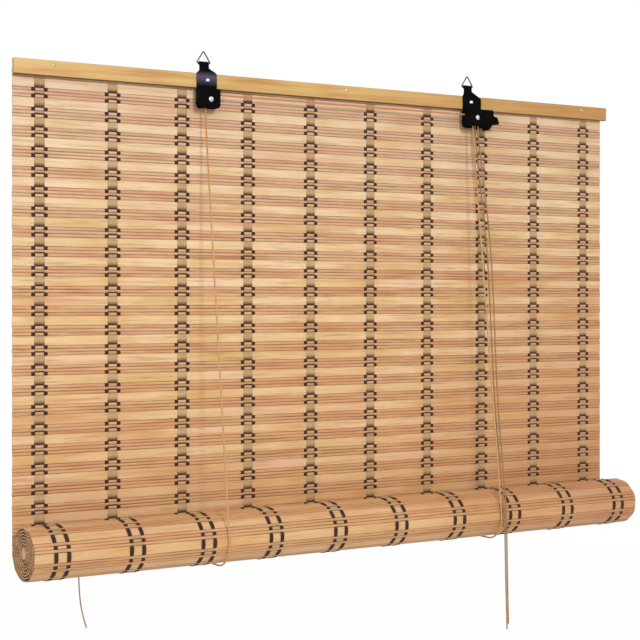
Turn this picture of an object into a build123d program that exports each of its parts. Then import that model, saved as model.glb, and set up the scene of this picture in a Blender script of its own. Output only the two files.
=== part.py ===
from build123d import *
import os
from bisect import bisect_right
from math import atan2, cos, hypot, pi, radians, sin, tan

# Bamboo roll-up blind, millimetres.
# X runs along the width, -Y is the room side and +Z is up.
# The origin is the middle of the back batten's back face, which lies on the wall.

# Head rail
rail_overhang = 4.0
rail_height = 21.0
front_batten_depth = 8.0
front_batten_edge = 1.5
back_batten_depth = 4.0
back_batten_inset = 5.0
left_nail_from_end = 55.0
middle_nail_x = 3.0
right_nail_from_end = 52.0
nail_z = 4.0
nail_radius = 1.0
nail_head_radius = 2.6
nail_head_height = 0.9

# Woven mat
mat_width = 1000.0
mat_shift = -3.0
mat_top_gap = 0.5
top_slat_width = 9.2
stick_width = 3.9
stick_thickness = 2.2
sticks_per_repeat = 3
slat_width = 12.3
slat_thickness = 1.6
slat_gap = 0.5
repeat_count = 65
web_thickness = 0.5
slat_corner = 0.45
stick_corner = 0.95

# Roll at the mat's lower end
roll_drop = 628.0
roll_depth = 87.0
roll_height = 70.0
turn_pitch_y = 5.0
turn_pitch_z = 3.8
path_step_deg = 2.0

# Woven columns
column_count = 10
column_margin = 36.6
yarn_width = 4.4
yarn_spacing = 16.4
yarn_thickness = 0.6
yarn_run_on_roll = 1.75 * pi
yarn_point_spacing = 12.0
front_strip_end_above_roll = 16.0

# Bracket plates
plate_thickness = 1.5
neck_width = 14.4
curl_above_rail = 14.0
neck_root_above_rail = 7.0
neck_fillet = 3.0
shoulder_corner = 4.0
tail_corner = 4.0
screw_z = 1.0
screw_radius = 1.7
screw_grip = 6.5
screw_head_radius = 3.3
screw_head_height = 2.0
hole_clearance = 0.1

left_plate_x = -226.9
left_plate_width = 31.0
left_neck_x = -231.0
left_screw_x = -225.4
left_shoulder_z = 11.0
right_plate_x = 229.3
right_plate_width = 34.4
right_neck_x = 221.5
right_screw_x = 228.0
right_shoulder_z = 7.5

# Hanger rings
ring_wire_radius = 1.0
ring_base = 22.0
ring_height = 17.0
ring_corner = 1.4
hinge_clearance = 0.05

# Pulleys, axles and housings
cord_radius = 1.2
wheel_thickness = 5.0
wheel_flange = 1.5
wheel_hub_height = 0.6
wheel_hub_wall = 1.0
cord_play = 0.15
axle_radius = 2.0
rivet_head_radius = 3.7
rivet_head_height = 1.6
housing_wall = 1.2
housing_gap = 0.8
housing_drop = 27.5
housing_corner = 6.0
housing_edge = 0.9
cord_slot_radius = 2.2
cross_cord_z = -19.0
left_wheel_cord_radius = 7.0
left_axle_x = -224.6
left_housing_depth = 11.0
right_wheel_cord_radius = 5.0
right_axle_x = 227.0
right_wheel_spacing = 7.3
lock_depth = 19.5
lock_reach = 44.5
lock_flare = 1.5
lock_straight_drop = 14.0
lock_foot_gap = 1.5
lock_corner = 2.5

# Lock cam, its outline given from its pivot
cam_pivot_z = -22.0
cam_reach = 9.7
cam_hub_radius = 6.3
cam_tooth_depth = 1.0
cam_tooth_count = 5
cam_face_top = -6.0
cam_face_bottom = -17.0
cam_shoulder = (-4.0, 4.0)
cam_tail = ((3.0, 5.6), (24.0, 0.0), (27.0, -10.0), (14.0, -12.0), (7.0, -20.0), (1.0, -15.0), (-5.0, -18.0))
cam_face_foot = (-8.7, -17.8)
cam_hub_root = (-5.8, -1.0)
cam_tooth_lead = 0.35
cam_cord_gap = 0.2
cam_side_gap = 1.3

# Cords
back_cord_y = -2.0
right_cord_lean = 5.0
cord_socket_depth = 6.0
roll_clearance = 0.5
lift_bend_below_housing = 6.0
lift_bend_radius = 200.0
roll_front_bend = 34.0
pull_cord_straight = 10.0
loose_end_radius = 1.0
loose_end_turn = 1.19 * pi / 2
loose_end_from_yarn = 27.0
loose_end_stub = 9.0

# Places that follow from the sizes above
rail_length = mat_width + 2 * rail_overhang
nail_x = (left_nail_from_end - rail_length / 2, middle_nail_x, rail_length / 2 - right_nail_from_end)
rail_top = rail_height / 2
rail_bottom = -rail_height / 2
mat_back_y = -back_batten_depth
mat_mid_y = mat_back_y - stick_thickness / 2
mat_front_y = mat_back_y - stick_thickness
rail_front_y = mat_front_y - front_batten_depth
plate_front_y = rail_front_y - plate_thickness
mat_top = rail_top - mat_top_gap
mat_left = mat_shift - mat_width / 2
tape_width = yarn_spacing - yarn_width
roll_semi_y = (roll_depth - stick_thickness + turn_pitch_y / 2) / 2
roll_semi_z = (roll_height - stick_thickness + turn_pitch_z) / 2
roll_y = mat_mid_y - roll_semi_y
roll_z = -roll_drop + turn_pitch_z / 4
roll_middle_y = mat_back_y - roll_depth / 2
curl_radius = ring_wire_radius + hinge_clearance
curl_outer = curl_radius + plate_thickness
curl_y = plate_front_y + curl_outer
curl_z = rail_top + curl_above_rail
housing_top = rail_bottom - housing_gap
housing_bottom = housing_top - housing_drop
left_axle_z = cross_cord_z - left_wheel_cord_radius
right_axle_z = cross_cord_z - right_wheel_cord_radius
left_front_y = rail_front_y - left_housing_depth
lock_front_y = rail_front_y - lock_depth
rear_wheel_y = (plate_front_y + left_front_y + housing_wall) / 2
front_wheel_y = rear_wheel_y - right_wheel_spacing
cam_pivot_x = right_axle_x + right_wheel_cord_radius + cord_radius + cam_cord_gap + cam_reach


def front_view(sketch, y_back, depth):
    """A front-view sketch (x, z) made solid from y_back towards the room."""
    return extrude(Plane.XZ.offset(-y_back) * sketch, amount=depth)


def side_view(sketch, x_left, length):
    """A side-view sketch (y, z) made solid from x_left to the right."""
    return extrude(Plane.YZ.offset(x_left) * sketch, amount=length)


def flat_face(points):
    return make_face(Polyline(*points, close=True).edges())


# The mat's middle line: straight down behind the roll, then an oval spiral, front and inwards.
def spiral_point(turn):
    turns = turn / (2 * pi)
    y = roll_y + (roll_semi_y - turn_pitch_y * turns) * cos(turn)
    z = roll_z - (roll_semi_z - turn_pitch_z * turns) * sin(turn)
    return y, z


def mat_line(length):
    points = [(mat_mid_y, mat_top), (mat_mid_y, roll_z)]
    lengths = [0.0, mat_top - roll_z]
    turn = 0.0
    while lengths[-1] < length:
        turn += radians(path_step_deg)
        y, z = spiral_point(turn)
        lengths.append(lengths[-1] + hypot(y - points[-1][0], z - points[-1][1]))
        points.append((y, z))
    return points, lengths


def slat_rows():
    """Start, width, thickness and corner of each slat and stick along the mat."""
    rows = [(0.0, top_slat_width, slat_thickness, slat_corner)]
    start = top_slat_width + slat_gap
    for _ in range(repeat_count):
        for _ in range(sticks_per_repeat):
            rows.append((start, stick_width, stick_thickness, stick_corner))
            start += stick_width + slat_gap
        rows.append((start, slat_width, slat_thickness, slat_corner))
        start += slat_width + slat_gap
    return rows


mat_rows = slat_rows()
mat_length = mat_rows[-1][0] + mat_rows[-1][1]
line_points, line_lengths = mat_line(mat_length + slat_width)


def point_at(distance):
    i = min(bisect_right(line_lengths, distance), len(line_lengths) - 1)
    share = (distance - line_lengths[i - 1]) / (line_lengths[i] - line_lengths[i - 1])
    (y0, z0), (y1, z1) = line_points[i - 1], line_points[i]
    return y0 + share * (y1 - y0), z0 + share * (z1 - z0)


def slat_frame(start, width):
    """Ends of a slat's middle line, its direction and the direction out of its back."""
    (y0, z0), (y1, z1) = point_at(start), point_at(start + width)
    span = hypot(y1 - y0, z1 - z0)
    along = ((y1 - y0) / span, (z1 - z0) / span)
    return (y0, z0), (y1, z1), along, (-along[1], along[0])


def slat_side(row, side):
    """Four outline points of one slat on its back (side 1) or front (side -1)."""
    start, width, thickness, corner = row
    first, last, along, out = slat_frame(start, width)
    high, low = side * thickness / 2, side * web_thickness / 2
    return [
        (first[0] + out[0] * low, first[1] + out[1] * low),
        (first[0] + along[0] * corner + out[0] * high, first[1] + along[1] * corner + out[1] * high),
        (last[0] - along[0] * corner + out[0] * high, last[1] - along[1] * corner + out[1] * high),
        (last[0] + out[0] * low, last[1] + out[1] * low),
    ]


def nail_shanks():
    shank = RegularPolygon(nail_radius, 8)
    depth = front_batten_depth + stick_thickness + back_batten_depth / 2
    return [front_view(Pos(x, nail_z) * shank, -back_batten_depth / 2, depth) for x in nail_x]


def slat_mat():
    back = [p for row in mat_rows for p in slat_side(row, 1)]
    front = [p for row in mat_rows for p in slat_side(row, -1)]
    mat = side_view(flat_face(back + front[::-1]), mat_left, mat_width)
    for shank in nail_shanks():
        mat -= shank
    return mat


def column_x():
    pitch = (mat_width - 2 * column_margin) / (column_count - 1)
    return [mat_left + column_margin + i * pitch for i in range(column_count)]


def front_strip(x, width):
    """A warp strip on the hanging front of the mat, from the rail down behind the roll."""
    end_z = roll_z + front_strip_end_above_roll
    outline = Pos(x, (rail_bottom + end_z) / 2) * Rectangle(width, rail_bottom - end_z)
    return front_view(outline, mat_front_y, yarn_thickness)


def back_strip(x, width):
    """A warp strip on the mat's back, which becomes the outside of the roll."""
    inner = [(mat_back_y, rail_bottom)]
    outer = [(mat_back_y + yarn_thickness, rail_bottom)]
    tightest = roll_semi_z ** 2 / roll_semi_y
    lift = stick_thickness / 2 + yarn_point_spacing ** 2 / (8 * tightest)
    steps = round(yarn_run_on_roll * (roll_semi_y + roll_semi_z) / 2 / yarn_point_spacing)
    for i in range(steps + 1):
        turn = i * yarn_run_on_roll / steps
        y, z = spiral_point(turn)
        ahead_y, ahead_z = spiral_point(turn + radians(path_step_deg))
        span = hypot(ahead_y - y, ahead_z - z)
        out = (-(ahead_z - z) / span, (ahead_y - y) / span)
        inner.append((y + out[0] * lift, z + out[1] * lift))
        far = lift + yarn_thickness
        outer.append((y + out[0] * far, z + out[1] * far))
    return side_view(flat_face(inner + outer[::-1]), x - width / 2, width)


def khaki_warp_tapes():
    return Compound([front_strip(x, tape_width).solid() for x in column_x()])


def dark_warp_yarns():
    places = [x + side * yarn_spacing / 2 for x in column_x() for side in (-1, 1)]
    strips = [front_strip(x, yarn_width).solid() for x in places]
    strips += [back_strip(x, yarn_width).solid() for x in places]
    return Compound(strips)


def bottom_dowel():
    """A rod in the roll's core that touches the nearest slat of the innermost turn."""
    touch = None
    for start, width, thickness, _ in mat_rows[-4 * sticks_per_repeat:]:
        first, _, _, out = slat_frame(start, width)
        reach = (first[0] - roll_y) * out[0] + (first[1] - roll_z) * out[1] - thickness / 2
        touch = reach if touch is None else min(touch, reach)
    return side_view(Pos(roll_y, roll_z) * Circle(touch), mat_left, mat_width)


# Head rail
def front_batten():
    bar = front_view(Rectangle(rail_length, rail_height), mat_front_y, front_batten_depth)
    bar = fillet(bar.edges().filter_by(Axis.Z), front_batten_edge)
    bar = fillet(bar.faces().sort_by(Axis.Y)[0].edges(), front_batten_edge)
    for shank in nail_shanks():
        bar -= shank
    for x in (left_screw_x, right_screw_x):
        bar -= screw_shank(x)
    return bar


def cord_sockets():
    depth = cord_socket_depth
    places = (left_axle_x - left_wheel_cord_radius, right_axle_x - right_wheel_cord_radius + right_cord_lean)
    return [Pos(x, back_cord_y, rail_bottom + depth / 2) * Cylinder(cord_radius, depth) for x in places]


def back_batten():
    bar = front_view(Rectangle(rail_length - 2 * back_batten_inset, rail_height), 0, back_batten_depth)
    for piece in nail_shanks() + cord_sockets():
        bar -= piece
    return bar


def round_head(x, y, z, radius, height):
    """A low domed head on a face that looks towards the room."""
    ball = (radius ** 2 + height ** 2) / (2 * height)
    profile = make_face(
        Line((0, 0), (radius, 0))
        + RadiusArc((radius, 0), (0, height), -ball)
        + Line((0, height), (0, 0))
    )
    dome = revolve(Plane.XZ * profile, Axis.Z)
    return Pos(x, y, z) * Rot(90, 0, 0) * dome


def batten_nails():
    nails = []
    for x, shank in zip(nail_x, nail_shanks()):
        head = round_head(x, rail_front_y, nail_z, nail_head_radius, nail_head_height)
        nails.append((shank + head).solid())
    return Compound(nails)


# Brackets
def screw_shank(x):
    return front_view(Pos(x, screw_z) * Circle(screw_radius), rail_front_y + screw_grip, screw_grip)


def bracket_screw(x):
    in_plate = front_view(Pos(x, screw_z) * Circle(screw_radius), rail_front_y, plate_thickness)
    head = round_head(x, plate_front_y, screw_z, screw_head_radius, screw_head_height)
    return (screw_shank(x) + in_plate + head).solid()


def plate_outline(x, width, neck_x, shoulder_z):
    """Tail with rounded corners, shoulders of unlike slope and a straight neck."""
    left, right = x - width / 2, x + width / 2
    neck_left, neck_right = neck_x - neck_width / 2, neck_x + neck_width / 2
    root_z = rail_top + neck_root_above_rail
    corners = [
        (left, housing_bottom, tail_corner),
        (right, housing_bottom, tail_corner),
        (right, shoulder_z, shoulder_corner),
        (neck_right, root_z, neck_fillet),
        (neck_right, curl_z, 0),
        (neck_left, curl_z, 0),
        (neck_left, root_z - neck_fillet, neck_fillet / 2),
        (left, rail_top, neck_fillet / 2),
    ]
    path = FilletPolyline(*[c[:2] for c in corners], radius=[c[2] for c in corners], close=True)
    return make_face(path.edges())


def bracket_plate(outline, neck_x, screw_x, holes):
    """Pressed plate whose neck curls back round the hanger ring."""
    outline -= Pos(screw_x, screw_z) * Circle(screw_radius + hole_clearance)
    for hole_x, hole_z in holes:
        outline -= Pos(hole_x, hole_z) * Circle(axle_radius)
    plate = front_view(outline, rail_front_y, plate_thickness)
    curl_left = neck_x - neck_width / 2
    plate += side_view(Pos(curl_y, curl_z) * Circle(curl_outer), curl_left, neck_width)
    plate -= side_view(Pos(curl_y, curl_z) * Circle(curl_radius), curl_left, neck_width)
    return plate.solid()


def hanger_ring(x):
    """Closed wire triangle whose base runs through the curl."""
    right, left = [Vector(x + side * ring_base / 2, curl_y, curl_z) for side in (1, -1)]
    apex = Vector(x, curl_y, curl_z + ring_height)
    wire = FilletPolyline(right, apex, left, radius=ring_corner, close=True)
    section = Plane(origin=wire @ 0, z_dir=wire % 0) * Circle(ring_wire_radius)
    return sweep(section, path=wire).solid()


def wheel(x, y, z, cord_line_radius):
    """Grooved pulley wheel turning on an axle along Y."""
    floor = cord_line_radius - cord_radius - cord_play
    rim = cord_line_radius + wheel_flange
    half = wheel_thickness / 2
    groove = cord_radius + cord_play
    bore = axle_radius + hinge_clearance
    hub = bore + wheel_hub_wall
    end = half + wheel_hub_height
    lower = Polyline(
        (bore, -end), (hub, -end), (hub, -half), (rim, -half), (rim, -groove), (cord_line_radius, -groove)
    )
    hollow = ThreePointArc((cord_line_radius, -groove), (floor, 0), (cord_line_radius, groove))
    upper = Polyline(
        (cord_line_radius, groove), (rim, groove), (rim, half), (hub, half),
        (hub, end), (bore, end), (bore, -end)
    )
    profile = make_face(lower + hollow + upper)
    return (Pos(x, y, z) * Rot(90, 0, 0) * revolve(Plane.XZ * profile, Axis.Z)).solid()


def rivet(x, z, front_y):
    """Axle rivet with a domed head on a housing's front and a low one behind the plate."""
    shaft = front_view(Pos(x, z) * Circle(axle_radius), rail_front_y, rail_front_y - front_y)
    back_height = rivet_head_height / 2
    back_head = front_view(Pos(x, z) * Circle(rivet_head_radius), rail_front_y + back_height, back_height)
    front_head = round_head(x, front_y, z, rivet_head_radius, rivet_head_height)
    return (shaft + back_head + front_head).solid()


def cord_slot(x):
    """Round passage for the cross cord through a cheek at x."""
    return Pos(x, rear_wheel_y, cross_cord_z) * Rot(0, 90, 0) * Cylinder(cord_slot_radius, 4 * housing_wall)


def left_pulley_housing():
    """Folded cover: a front and two sides that hug the plate, open below."""
    width = left_plate_width + 2 * housing_wall
    height = housing_top - housing_bottom
    middle = (housing_top + housing_bottom) / 2
    outline = Pos(left_plate_x, middle) * Rectangle(width, height)
    outline = fillet(outline.vertices().group_by(Axis.Y)[0], housing_corner)
    shell = front_view(outline, rail_front_y, left_housing_depth)
    shell = fillet(shell.faces().sort_by(Axis.Y)[0].edges(), housing_edge)
    room = Pos(left_plate_x, middle - housing_wall / 2) * Rectangle(left_plate_width, height - housing_wall)
    shell -= front_view(room, rail_front_y, left_housing_depth - housing_wall)
    behind = Pos(left_plate_x, middle) * Rectangle(left_plate_width, height)
    shell -= front_view(behind, rail_front_y, plate_thickness)
    shell -= front_view(Pos(left_axle_x, left_axle_z) * Circle(axle_radius), rail_front_y, left_housing_depth)
    return (shell - cord_slot(left_plate_x + width / 2)).solid()


def lock_housing():
    """Folded lock cover: left cheek, top and a flared front, open to the right for the cam's tail."""
    left = right_plate_x - right_plate_width / 2
    foot_z = housing_bottom + lock_foot_gap
    outline = flat_face([
        (left - housing_wall, housing_top),
        (left + lock_reach, housing_top),
        (left + lock_reach + lock_flare, housing_top - lock_straight_drop),
        (left + right_plate_width, foot_z),
        (left - housing_wall, foot_z),
    ])
    outline = fillet(outline.vertices(), lock_corner)
    shell = front_view(outline, rail_front_y, lock_depth)
    room_width, room_height = 2 * lock_reach, 2 * housing_drop
    room_z = housing_top - housing_wall - room_height / 2
    room = Pos(left + room_width / 2, room_z) * Rectangle(room_width, room_height)
    shell -= front_view(room, rail_front_y, lock_depth - housing_wall)
    behind = Pos(left + room_width / 2, housing_top) * Rectangle(room_width, room_height)
    shell -= front_view(behind, rail_front_y, plate_thickness)
    for x, z in ((right_axle_x, right_axle_z), (cam_pivot_x, cam_pivot_z)):
        shell -= front_view(Pos(x, z) * Circle(axle_radius), rail_front_y, lock_depth)
    return (shell - cord_slot(left)).solid()


def lock_cam():
    """Toothed jaw, hub and release tail in one casting."""
    pitch = (cam_face_top - cam_face_bottom) / cam_tooth_count
    face = [cam_face_foot]
    for i in range(cam_tooth_count):
        face.append((-cam_reach, cam_face_bottom + (i + cam_tooth_lead) * pitch))
        face.append((-cam_reach + cam_tooth_depth, cam_face_bottom + (i + 1) * pitch))
    body = flat_face([cam_shoulder, *cam_tail, *face, cam_hub_root]) + Circle(cam_hub_radius)
    body -= Circle(axle_radius + hinge_clearance)
    y_back = plate_front_y - cam_side_gap
    depth = y_back - (lock_front_y + housing_wall) - cam_side_gap
    return front_view(Pos(cam_pivot_x, cam_pivot_z) * body, y_back, depth).solid()


# Cords
def tube(path, radius):
    start = Plane(origin=path @ 0, z_dir=path % 0)
    return sweep(start * Circle(radius), path=path).solid()


def front_run_foot(pulley_y, pulley_z, radius):
    """Where the tight front run of a lift cord meets the level of the roll's middle and bottom."""
    semi_y = roll_depth / 2 + roll_clearance + radius
    semi_z = roll_height / 2 + roll_clearance + radius
    rise = pulley_z + roll_drop
    lean = atan2(pulley_y - (roll_middle_y - semi_y), rise)
    front_y = roll_middle_y - hypot(semi_y * cos(lean), semi_z * sin(lean)) / cos(lean)
    slope = (pulley_y - front_y) / rise
    return front_y - slope * semi_z, -roll_drop - semi_z


def lift_route(x, wheel_y, lean):
    """Corner points from the back batten down, round the roll and up, leaning sideways, to the housing."""
    bend_z = housing_bottom - lift_bend_below_housing
    foot_y, foot_z = front_run_foot(wheel_y, bend_z, cord_radius)
    return [
        Vector(x + lean, back_cord_y, rail_bottom + cord_socket_depth),
        Vector(x + lean, back_cord_y, foot_z),
        Vector(x + lean, foot_y, foot_z),
        Vector(x, wheel_y, bend_z),
    ]


roll_bend = roll_height / 2 + roll_clearance + cord_radius


def left_lift_cord():
    x = left_axle_x - left_wheel_cord_radius
    out_x = right_axle_x + right_wheel_cord_radius
    points = lift_route(x, rear_wheel_y, 0) + [
        Vector(x, rear_wheel_y, cross_cord_z),
        Vector(out_x, rear_wheel_y, cross_cord_z),
        Vector(out_x, rear_wheel_y, housing_bottom),
    ]
    bends = [roll_bend, roll_front_bend, lift_bend_radius, left_wheel_cord_radius, right_wheel_cord_radius]
    return tube(FilletPolyline(*points, radius=bends), cord_radius)


def right_lift_cord():
    radius = right_wheel_cord_radius
    x, out_x = right_axle_x - radius, right_axle_x + radius
    side = Vector(x, front_wheel_y, right_axle_z)
    top = Vector(right_axle_x, front_wheel_y, cross_cord_z)
    out_side = Vector(out_x, front_wheel_y, right_axle_z)
    bends = [roll_bend, roll_front_bend, lift_bend_radius]
    rise = FilletPolyline(*lift_route(x, front_wheel_y, right_cord_lean), side, radius=bends)
    over = ThreePointArc(side, top, out_side)
    fall = Line(out_side, Vector(out_x, front_wheel_y, housing_bottom))
    return tube(Wire(rise.edges() + over.edges() + fall.edges()), cord_radius)


# Routes of the free cords: chosen points from the exit to the end
cord_exit_x = right_axle_x + right_wheel_cord_radius
left_pull_route = (
    (cord_exit_x, rear_wheel_y, housing_bottom),
    (cord_exit_x, rear_wheel_y, housing_bottom - pull_cord_straight),
    (234.0, -22.6, -86.0), (237.6, -26.4, -134.0), (241.6, -32.0, -188.0),
    (242.4, -38.6, -246.0), (240.6, -45.9, -305.0), (237.6, -53.8, -364.0), (234.6, -62.4, -423.0),
    (232.2, -71.8, -482.0), (230.8, -81.8, -540.0), (230.2, -91.6, -592.0), (230.4, -95.6, -636.0),
    (231.4, -95.9, -682.0), (232.9, -95.7, -740.0), (234.9, -95.6, -798.0),
)
right_pull_route = (
    (cord_exit_x, front_wheel_y, housing_bottom),
    (cord_exit_x, front_wheel_y, housing_bottom - pull_cord_straight),
    (235.8, -28.8, -84.0), (240.6, -31.9, -132.0), (245.2, -36.2, -186.0),
    (246.4, -42.4, -244.0), (244.8, -49.5, -303.0), (241.6, -57.2, -362.0), (238.4, -65.4, -421.0),
    (235.8, -74.4, -480.0), (234.2, -83.9, -538.0), (233.5, -92.6, -590.0), (233.6, -95.8, -634.0),
    (234.4, -96.1, -680.0), (235.6, -95.9, -736.0), (237.4, -95.8, -790.0),
)
loose_end_drop = ((1.2, 0.6, -17.0), (4.4, 1.0, -38.0), (10.6, 1.2, -58.0))


def cord_bends(points):
    """As large an arc at each point as its two runs allow."""
    bends = []
    for before, here, after in zip(points, points[1:], points[2:]):
        first, second = here - before, after - here
        half_turn = radians(first.get_angle(second)) / 2
        bends.append(0.45 * min(first.length, second.length) / tan(half_turn))
    return bends


def free_cord(name, route, radius):
    points = [Vector(*p) for p in route]
    bends = cord_bends(points)
    path = FilletPolyline(*points, radius=bends)
    solid = tube(path, radius)
    print(name, "length", round(path.length, 1), "tightest bend", round(min(bends), 1),
          "volume ratio", round(solid.volume / (pi * radius ** 2 * path.length), 4))
    return solid


def loose_cord_end():
    """A thin end that leaves the roll's underside at right angles to a wide slat."""
    wide = [row for row in mat_rows if row[1] == slat_width]
    target = mat_top - roll_z + loose_end_turn * (roll_semi_y + roll_semi_z) / 2
    start, width, thickness, _ = min(wide, key=lambda row: abs(row[0] + row[1] / 2 - target))
    first, last, _, out = slat_frame(start, width)
    x = column_x()[0] + yarn_spacing / 2 + loose_end_from_yarn
    middle = Vector(x, (first[0] + last[0]) / 2, (first[1] + last[1]) / 2)
    outwards = Vector(0, *out)
    foot = middle + outwards * thickness / 2
    down = foot + outwards * loose_end_stub
    route = [foot, down] + [down + Vector(*step) for step in loose_end_drop]
    return free_cord("loose_cord_end", [(p.X, p.Y, p.Z) for p in route], loose_end_radius)


os.makedirs("parts", exist_ok=True)
left_axle = (left_axle_x, left_axle_z)
right_axle = (right_axle_x, right_axle_z)
cam_pivot = (cam_pivot_x, cam_pivot_z)
left_outline = plate_outline(left_plate_x, left_plate_width, left_neck_x, left_shoulder_z)
right_outline = plate_outline(right_plate_x, right_plate_width, right_neck_x, right_shoulder_z)

parts = {
    "front_batten": front_batten(),
    "back_batten": back_batten(),
    "batten_nails": batten_nails(),
    "slat_mat": slat_mat(),
    "khaki_warp_tapes": khaki_warp_tapes(),
    "dark_warp_yarns": dark_warp_yarns(),
    "bottom_dowel": bottom_dowel(),
    "left_bracket_plate": bracket_plate(left_outline, left_neck_x, left_screw_x, [left_axle]),
    "left_bracket_screw": bracket_screw(left_screw_x),
    "left_hanger_ring": hanger_ring(left_neck_x),
    "left_pulley_housing": left_pulley_housing(),
    "left_pulley": wheel(left_axle_x, rear_wheel_y, left_axle_z, left_wheel_cord_radius),
    "left_axle_rivet": rivet(*left_axle, left_front_y),
    "right_bracket_plate": bracket_plate(right_outline, right_neck_x, right_screw_x, [right_axle, cam_pivot]),
    "right_bracket_screw": bracket_screw(right_screw_x),
    "right_hanger_ring": hanger_ring(right_neck_x),
    "lock_housing": lock_housing(),
    "right_rear_pulley": wheel(right_axle_x, rear_wheel_y, right_axle_z, right_wheel_cord_radius),
    "right_front_pulley": wheel(right_axle_x, front_wheel_y, right_axle_z, right_wheel_cord_radius),
    "right_axle_rivet": rivet(*right_axle, lock_front_y),
    "lock_cam": lock_cam(),
    "cam_rivet": rivet(*cam_pivot, lock_front_y),
    "left_lift_cord": left_lift_cord(),
    "right_lift_cord": right_lift_cord(),
    "left_pull_cord": free_cord("left_pull_cord", left_pull_route, cord_radius),
    "right_pull_cord": free_cord("right_pull_cord", right_pull_route, cord_radius),
    "loose_cord_end": loose_cord_end(),
}

for name, shape in parts.items():
    export_step(shape, f"parts/{name}.step")
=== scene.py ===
from bisect import bisect_right
from math import atan2, cos, hypot, pi, radians, sin

import bpy
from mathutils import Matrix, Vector

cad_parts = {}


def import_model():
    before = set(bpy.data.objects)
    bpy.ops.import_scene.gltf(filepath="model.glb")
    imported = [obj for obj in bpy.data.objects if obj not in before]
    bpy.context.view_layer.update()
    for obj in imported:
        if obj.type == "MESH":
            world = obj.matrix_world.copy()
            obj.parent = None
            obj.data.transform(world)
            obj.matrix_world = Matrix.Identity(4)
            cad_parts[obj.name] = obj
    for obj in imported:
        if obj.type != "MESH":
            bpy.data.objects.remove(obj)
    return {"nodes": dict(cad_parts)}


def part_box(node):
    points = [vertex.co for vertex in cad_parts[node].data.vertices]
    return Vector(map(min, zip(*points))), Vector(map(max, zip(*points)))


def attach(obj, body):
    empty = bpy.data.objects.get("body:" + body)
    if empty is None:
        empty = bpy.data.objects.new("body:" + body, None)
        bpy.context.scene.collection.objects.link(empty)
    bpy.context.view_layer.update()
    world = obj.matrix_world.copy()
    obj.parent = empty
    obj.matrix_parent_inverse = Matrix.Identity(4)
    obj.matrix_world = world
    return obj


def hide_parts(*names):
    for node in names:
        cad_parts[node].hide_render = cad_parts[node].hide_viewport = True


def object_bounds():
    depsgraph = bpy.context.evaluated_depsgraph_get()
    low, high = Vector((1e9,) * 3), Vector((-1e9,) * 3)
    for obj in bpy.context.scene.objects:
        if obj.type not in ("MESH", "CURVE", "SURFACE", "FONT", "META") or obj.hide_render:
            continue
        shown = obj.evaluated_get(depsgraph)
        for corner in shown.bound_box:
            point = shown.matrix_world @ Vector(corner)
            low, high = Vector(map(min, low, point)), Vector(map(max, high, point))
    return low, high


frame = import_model()
cad_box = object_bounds()

# Bamboo roll-up blind. Lengths are in metres, X along the width, -Y the room side, +Z up.
MM = 0.001
mat_low, mat_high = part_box("slat_mat")
mat_left, mat_right = mat_low[0], mat_high[0]
mat_width = mat_right - mat_left
mat_back_y = mat_high[1]
mat_top = mat_high[2]
mat_front_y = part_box("front_batten")[1][1]
rail_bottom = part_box("front_batten")[0][2]

# Weave: a narrow top slat, then three thin sticks and one wide slat again and again
stick_thickness = mat_back_y - mat_front_y
stick_width = 3.9 * MM
slat_width = 12.3 * MM
slat_thickness = 1.6 * MM
top_slat_width = 9.2 * MM
slat_gap = 0.5 * MM
web_thickness = 0.5 * MM
slat_corner = 0.45 * MM
stick_corner = 0.95 * MM
repeat_count = 65
slat_stations = 18
slat_wander = 0.45 * MM
slat_end_wander = 0.9 * MM
slat_seed = 11

# Roll at the mat's lower end
roll_drop = 628 * MM
roll_depth = 87 * MM
roll_height = 70 * MM
turn_pitch_y = 5.0 * MM
turn_pitch_z = 3.8 * MM
path_step = radians(2)

# Woven columns
column_count = 10
column_margin = 36.6 * MM
tape_width = 14.4 * MM
tape_thickness = 0.6 * MM
yarn_width = 5.5 * MM
yarn_spacing = 17.2 * MM
yarn_thickness = 1.0 * MM
strip_rim = 1.2 * MM
strip_crown = 1.25
woven_turns_on_roll = 1.15

# Camera and light
camera_place = (-1.1420, -1.8571, -0.3015)
camera_azimuth = radians(30.8)
camera_lens = 83.14
camera_shift_y = -0.0339
floor_drop = 0.05
floor_radius = 3.0
floor_sides = 64
floor_white = 0.95
world_light = 0.55
lamp_target = (0, 0, -0.35)
lamps = (
    ("key", (-0.3, -3.0, 0.9), 0.5, 46),
    ("fill", (-2.0, -1.6, 0.3), 1.6, 12),
    ("back", (0.6, 3.2, 0.6), 1.8, 34),
)

# Cords
cord_diameter = 2.4 * MM
cord_strands = 3
cord_twist = 9 * MM
cord_step = 1.1 * MM
strand_depth = 0.12
lift_cord_ply = 3 * MM
loose_end_diameter = 2.0 * MM
loose_end_turn = 1.19 * pi / 2
loose_end_from_column = 35.2 * MM
loose_end_stub = 9.0 * MM
loose_end_drop = ((1.2, 0.6, -17.0), (4.4, 1.0, -38.0), (10.6, 1.2, -58.0))


def colour(red, green, blue):
    """A screen colour, 0 to 255, as the linear one that Blender's sockets hold."""
    shares = [c / 255 for c in (red, green, blue)]
    return (*(c / 12.92 if c < 0.04045 else ((c + 0.055) / 1.055) ** 2.4 for c in shares), 1.0)


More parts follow.
